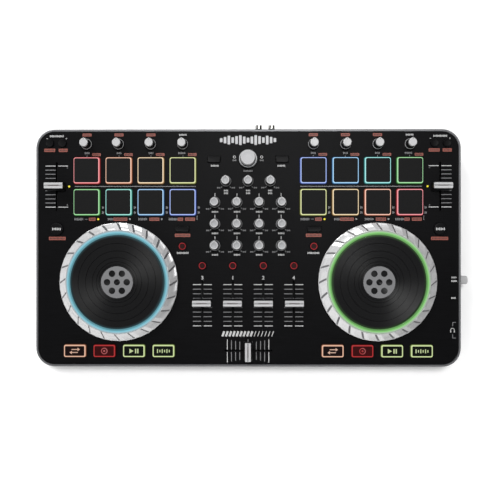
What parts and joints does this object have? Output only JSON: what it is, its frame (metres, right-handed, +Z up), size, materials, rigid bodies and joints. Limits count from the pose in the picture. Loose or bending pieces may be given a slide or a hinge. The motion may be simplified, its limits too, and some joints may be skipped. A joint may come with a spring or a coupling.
{
  "type": "dj controller",
  "caption": "Wide DJ controller with two jog wheels, lit performance pads, pitch, channel and cross faders, EQ and effect knobs on a black panel in a silver frame.",
  "frame": {"origin": "underside of the centre foot, on the surface that the controller stands on", "axes": "+X to the user's right along the long side, +Y to the rear edge with the sockets, +Z up out of the panel"},
  "size_m": [0.5551, 0.3109, 0.0505],
  "materials": {
    "black_case": "fine moulded texture",
    "silver_frame": "satin silver paint",
    "black_panel": "black anodised, fine brushed lines along X",
    "foot_rubber": "matt",
    "screw_steel": "zinc plated",
    "board_green": "solder mask",
    "component_black": "moulded",
    "track_steel": "pressed sheet",
    "socket_black": "moulded",
    "socket_metal": "nickel plated",
    "jog_silver": "satin metallic silver",
    "jog_black": "grooved like a record, semi-gloss",
    "left_jog_light": "translucent, lit cyan-blue",
    "right_jog_light": "translucent, lit green",
    "knob_silver": "satin silver with a black skirt",
    "fader_silver": "satin silver",
    "left_pad_light": "translucent silicone, lit in eight colours",
    "right_pad_light": "translucent silicone, lit in eight colours",
    "key_light": "translucent frame round a dark tinted centre",
    "button_black": "satin",
    "button_red": "dark, with a red lit ring"
  },
  "bodies": {
    "chassis": {"base_tray": "black_case", "side_frame": "silver_frame", "top_panel": "black_panel", "rubber_feet": "foot_rubber", "assembly_screws": "screw_steel", "circuit_boards": "board_green", "pot_housings": "component_black", "fader_tracks": "track_steel", "tact_switches": "component_black", "rca_outputs": "socket_metal", "usb_socket": "socket_metal", "jack_sockets": "socket_black", "jog_posts": "screw_steel"},
    "left_jog": {"left_jog_wheel": "jog_silver", "left_jog_light_ring": "left_jog_light", "left_jog_plate": "jog_black"},
    "right_jog": {"right_jog_wheel": "jog_silver", "right_jog_light_ring": "right_jog_light", "right_jog_plate": "jog_black"},
    "left_pitch_fader_cap": {"left_pitch_fader": "fader_silver"},
    "right_pitch_fader_cap": {"right_pitch_fader": "fader_silver"},
    "crossfader_cap": {"crossfader": "fader_silver"},
    "channel_3_fader_cap": {"channel_3_fader": "fader_silver"},
    "channel_1_fader_cap": {"channel_1_fader": "fader_silver"},
    "channel_2_fader_cap": {"channel_2_fader": "fader_silver"},
    "channel_4_fader_cap": {"channel_4_fader": "fader_silver"},
    "left_fx_knob_1_turning": {"left_fx_knob_1": "knob_silver"},
    "left_fx_knob_2_turning": {"left_fx_knob_2": "knob_silver"},
    "left_fx_knob_3_turning": {"left_fx_knob_3": "knob_silver"},
    "left_fx_knob_4_turning": {"left_fx_knob_4": "knob_silver"},
    "right_fx_knob_1_turning": {"right_fx_knob_1": "knob_silver"},
    "right_fx_knob_2_turning": {"right_fx_knob_2": "knob_silver"},
    "right_fx_knob_3_turning": {"right_fx_knob_3": "knob_silver"},
    "right_fx_knob_4_turning": {"right_fx_knob_4": "knob_silver"},
    "gain_knob_left_turning": {"gain_knob_left": "knob_silver"},
    "gain_knob_middle_turning": {"gain_knob_middle": "knob_silver"},
    "gain_knob_right_turning": {"gain_knob_right": "knob_silver"},
    "eq_high_knob_channel_3_turning": {"eq_high_knob_channel_3": "knob_silver"},
    "eq_high_knob_channel_1_turning": {"eq_high_knob_channel_1": "knob_silver"},
    "eq_high_knob_channel_2_turning": {"eq_high_knob_channel_2": "knob_silver"},
    "eq_high_knob_channel_4_turning": {"eq_high_knob_channel_4": "knob_silver"},
    "eq_mid_knob_channel_3_turning": {"eq_mid_knob_channel_3": "knob_silver"},
    "eq_mid_knob_channel_1_turning": {"eq_mid_knob_channel_1": "knob_silver"},
    "eq_mid_knob_channel_2_turning": {"eq_mid_knob_channel_2": "knob_silver"},
    "eq_mid_knob_channel_4_turning": {"eq_mid_knob_channel_4": "knob_silver"},
    "eq_low_knob_channel_3_turning": {"eq_low_knob_channel_3": "knob_silver"},
    "eq_low_knob_channel_1_turning": {"eq_low_knob_channel_1": "knob_silver"},
    "eq_low_knob_channel_2_turning": {"eq_low_knob_channel_2": "knob_silver"},
    "eq_low_knob_channel_4_turning": {"eq_low_knob_channel_4": "knob_silver"},
    "mic_level_knob_turning": {"mic_level_knob": "knob_silver"},
    "browse_push": {"browse_shaft": "screw_steel"},
    "browse_turn": {"browse_knob": "knob_silver"},
    "left_pads_pressed": {"left_pads": "left_pad_light"},
    "right_pads_pressed": {"right_pads": "right_pad_light"},
    "left_transport_buttons_pressed": {"left_transport_buttons": "key_light"},
    "right_transport_buttons_pressed": {"right_transport_buttons": "key_light"},
    "pitch_bend_buttons_pressed": {"pitch_bend_buttons": "button_black"},
    "layer_buttons_pressed": {"layer_buttons": "button_black"},
    "load_and_shift_buttons_pressed": {"load_and_shift_buttons": "button_black"},
    "cue_and_scratch_buttons_pressed": {"cue_and_scratch_buttons": "button_red"}
  },
  "joints": [
    {"name": "left_jog_spin", "type": "hinge", "parent": "chassis", "child": "left_jog", "pos_m": [-0.1646, -0.0431, 0], "axis": [0, 0, 1], "continuous": true},
    {"name": "right_jog_spin", "type": "hinge", "parent": "chassis", "child": "right_jog", "pos_m": [0.1646, -0.0431, 0], "axis": [0, 0, 1], "continuous": true},
    {"name": "left_pitch_fader_slide", "type": "slide", "parent": "chassis", "child": "left_pitch_fader_cap", "axis": [0, 1, 0], "range_m": [-0.026, 0.026]},
    {"name": "right_pitch_fader_slide", "type": "slide", "parent": "chassis", "child": "right_pitch_fader_cap", "axis": [0, 1, 0], "range_m": [-0.026, 0.026]},
    {"name": "crossfader_slide", "type": "slide", "parent": "chassis", "child": "crossfader_cap", "axis": [1, 0, 0], "range_m": [-0.026, 0.026]},
    {"name": "channel_3_fader_slide", "type": "slide", "parent": "chassis", "child": "channel_3_fader_cap", "axis": [0, 1, 0], "range_m": [-0.0292, 0.0228]},
    {"name": "channel_1_fader_slide", "type": "slide", "parent": "chassis", "child": "channel_1_fader_cap", "axis": [0, 1, 0], "range_m": [-0.0292, 0.0228]},
    {"name": "channel_2_fader_slide", "type": "slide", "parent": "chassis", "child": "channel_2_fader_cap", "axis": [0, 1, 0], "range_m": [-0.0292, 0.0228]},
    {"name": "channel_4_fader_slide", "type": "slide", "parent": "chassis", "child": "channel_4_fader_cap", "axis": [0, 1, 0], "range_m": [-0.0292, 0.0228]},
    {"name": "left_fx_knob_1_turn", "type": "hinge", "parent": "chassis", "child": "left_fx_knob_1_turning", "pos_m": [-0.206, 0.1324, 0], "axis": [0, 0, -1], "range_deg": [-150, 150]},
    {"name": "left_fx_knob_2_turn", "type": "hinge", "parent": "chassis", "child": "left_fx_knob_2_turning", "pos_m": [-0.1651, 0.1324, 0], "axis": [0, 0, -1], "range_deg": [-150, 150]},
    {"name": "left_fx_knob_3_turn", "type": "hinge", "parent": "chassis", "child": "left_fx_knob_3_turning", "pos_m": [-0.1242, 0.1324, 0], "axis": [0, 0, -1], "range_deg": [-150, 150]},
    {"name": "left_fx_knob_4_turn", "type": "hinge", "parent": "chassis", "child": "left_fx_knob_4_turning", "pos_m": [-0.0833, 0.1324, 0], "axis": [0, 0, -1], "range_deg": [-150, 150]},
    {"name": "right_fx_knob_1_turn", "type": "hinge", "parent": "chassis", "child": "right_fx_knob_1_turning", "pos_m": [0.0833, 0.1324, 0], "axis": [0, 0, -1], "range_deg": [-150, 150]},
    {"name": "right_fx_knob_2_turn", "type": "hinge", "parent": "chassis", "child": "right_fx_knob_2_turning", "pos_m": [0.1242, 0.1324, 0], "axis": [0, 0, -1], "range_deg": [-150, 150]},
    {"name": "right_fx_knob_3_turn", "type": "hinge", "parent": "chassis", "child": "right_fx_knob_3_turning", "pos_m": [0.1651, 0.1324, 0], "axis": [0, 0, -1], "range_deg": [-150, 150]},
    {"name": "right_fx_knob_4_turn", "type": "hinge", "parent": "chassis", "child": "right_fx_knob_4_turning", "pos_m": [0.206, 0.1324, 0], "axis": [0, 0, -1], "range_deg": [-150, 150]},
    {"name": "gain_knob_left_turn", "type": "hinge", "parent": "chassis", "child": "gain_knob_left_turning", "pos_m": [-0.0282, 0.0852, 0], "axis": [0, 0, -1], "range_deg": [-150, 150]},
    {"name": "gain_knob_middle_turn", "type": "hinge", "parent": "chassis", "child": "gain_knob_middle_turning", "pos_m": [0, 0.0852, 0], "axis": [0, 0, -1], "range_deg": [-150, 150]},
    {"name": "gain_knob_right_turn", "type": "hinge", "parent": "chassis", "child": "gain_knob_right_turning", "pos_m": [0.0282, 0.0852, 0], "axis": [0, 0, -1], "range_deg": [-150, 150]},
    {"name": "eq_high_knob_channel_3_turn", "type": "hinge", "parent": "chassis", "child": "eq_high_knob_channel_3_turning", "pos_m": [-0.0423, 0.0581, 0], "axis": [0, 0, -1], "range_deg": [-150, 150]},
    {"name": "eq_high_knob_channel_1_turn", "type": "hinge", "parent": "chassis", "child": "eq_high_knob_channel_1_turning", "pos_m": [-0.0141, 0.0581, 0], "axis": [0, 0, -1], "range_deg": [-150, 150]},
    {"name": "eq_high_knob_channel_2_turn", "type": "hinge", "parent": "chassis", "child": "eq_high_knob_channel_2_turning", "pos_m": [0.0141, 0.0581, 0], "axis": [0, 0, -1], "range_deg": [-150, 150]},
    {"name": "eq_high_knob_channel_4_turn", "type": "hinge", "parent": "chassis", "child": "eq_high_knob_channel_4_turning", "pos_m": [0.0423, 0.0581, 0], "axis": [0, 0, -1], "range_deg": [-150, 150]},
    {"name": "eq_mid_knob_channel_3_turn", "type": "hinge", "parent": "chassis", "child": "eq_mid_knob_channel_3_turning", "pos_m": [-0.0423, 0.0306, 0], "axis": [0, 0, -1], "range_deg": [-150, 150]},
    {"name": "eq_mid_knob_channel_1_turn", "type": "hinge", "parent": "chassis", "child": "eq_mid_knob_channel_1_turning", "pos_m": [-0.0141, 0.0306, 0], "axis": [0, 0, -1], "range_deg": [-150, 150]},
    {"name": "eq_mid_knob_channel_2_turn", "type": "hinge", "parent": "chassis", "child": "eq_mid_knob_channel_2_turning", "pos_m": [0.0141, 0.0306, 0], "axis": [0, 0, -1], "range_deg": [-150, 150]},
    {"name": "eq_mid_knob_channel_4_turn", "type": "hinge", "parent": "chassis", "child": "eq_mid_knob_channel_4_turning", "pos_m": [0.0423, 0.0306, 0], "axis": [0, 0, -1], "range_deg": [-150, 150]},
    {"name": "eq_low_knob_channel_3_turn", "type": "hinge", "parent": "chassis", "child": "eq_low_knob_channel_3_turning", "pos_m": [-0.0423, 0.0032, 0], "axis": [0, 0, -1], "range_deg": [-150, 150]},
    {"name": "eq_low_knob_channel_1_turn", "type": "hinge", "parent": "chassis", "child": "eq_low_knob_channel_1_turning", "pos_m": [-0.0141, 0.0032, 0], "axis": [0, 0, -1], "range_deg": [-150, 150]},
    {"name": "eq_low_knob_channel_2_turn", "type": "hinge", "parent": "chassis", "child": "eq_low_knob_channel_2_turning", "pos_m": [0.0141, 0.0032, 0], "axis": [0, 0, -1], "range_deg": [-150, 150]},
    {"name": "eq_low_knob_channel_4_turn", "type": "hinge", "parent": "chassis", "child": "eq_low_knob_channel_4_turning", "pos_m": [0.0423, 0.0032, 0], "axis": [0, 0, -1], "range_deg": [-150, 150]},
    {"name": "mic_level_knob_turn", "type": "hinge", "parent": "chassis", "child": "mic_level_knob_turning", "pos_m": [0.28, -0.0415, 0.02], "axis": [-1, 0, 0], "range_deg": [-150, 150]},
    {"name": "browse_press", "type": "slide", "parent": "chassis", "child": "browse_push", "axis": [0, 0, -1], "range_m": [0, 0.0007], "stiffness_N_per_m": 400, "springref_m": -0.002},
    {"name": "browse_spin", "type": "hinge", "parent": "browse_push", "child": "browse_turn", "pos_m": [0, 0.1136, 0], "axis": [0, 0, -1], "continuous": true},
    {"name": "left_pads_press", "type": "slide", "parent": "chassis", "child": "left_pads_pressed", "axis": [0, 0, -1], "range_m": [0, 0.0009], "stiffness_N_per_m": 400, "springref_m": -0.002},
    {"name": "right_pads_press", "type": "slide", "parent": "chassis", "child": "right_pads_pressed", "axis": [0, 0, -1], "range_m": [0, 0.0009], "stiffness_N_per_m": 400, "springref_m": -0.002},
    {"name": "left_transport_buttons_press", "type": "slide", "parent": "chassis", "child": "left_transport_buttons_pressed", "axis": [0, 0, -1], "range_m": [0, 0.0009], "stiffness_N_per_m": 400, "springref_m": -0.002},
    {"name": "right_transport_buttons_press", "type": "slide", "parent": "chassis", "child": "right_transport_buttons_pressed", "axis": [0, 0, -1], "range_m": [0, 0.0009], "stiffness_N_per_m": 400, "springref_m": -0.002},
    {"name": "pitch_bend_buttons_press", "type": "slide", "parent": "chassis", "child": "pitch_bend_buttons_pressed", "axis": [0, 0, -1], "range_m": [0, 0.0009], "stiffness_N_per_m": 400, "springref_m": -0.002},
    {"name": "layer_buttons_press", "type": "slide", "parent": "chassis", "child": "layer_buttons_pressed", "axis": [0, 0, -1], "range_m": [0, 0.0009], "stiffness_N_per_m": 400, "springref_m": -0.002},
    {"name": "load_and_shift_buttons_press", "type": "slide", "parent": "chassis", "child": "load_and_shift_buttons_pressed", "axis": [0, 0, -1], "range_m": [0, 0.0009], "stiffness_N_per_m": 400, "springref_m": -0.002},
    {"name": "cue_and_scratch_buttons_press", "type": "slide", "parent": "chassis", "child": "cue_and_scratch_buttons_pressed", "axis": [0, 0, -1], "range_m": [0, 0.0009], "stiffness_N_per_m": 400, "springref_m": -0.002}
  ]
}
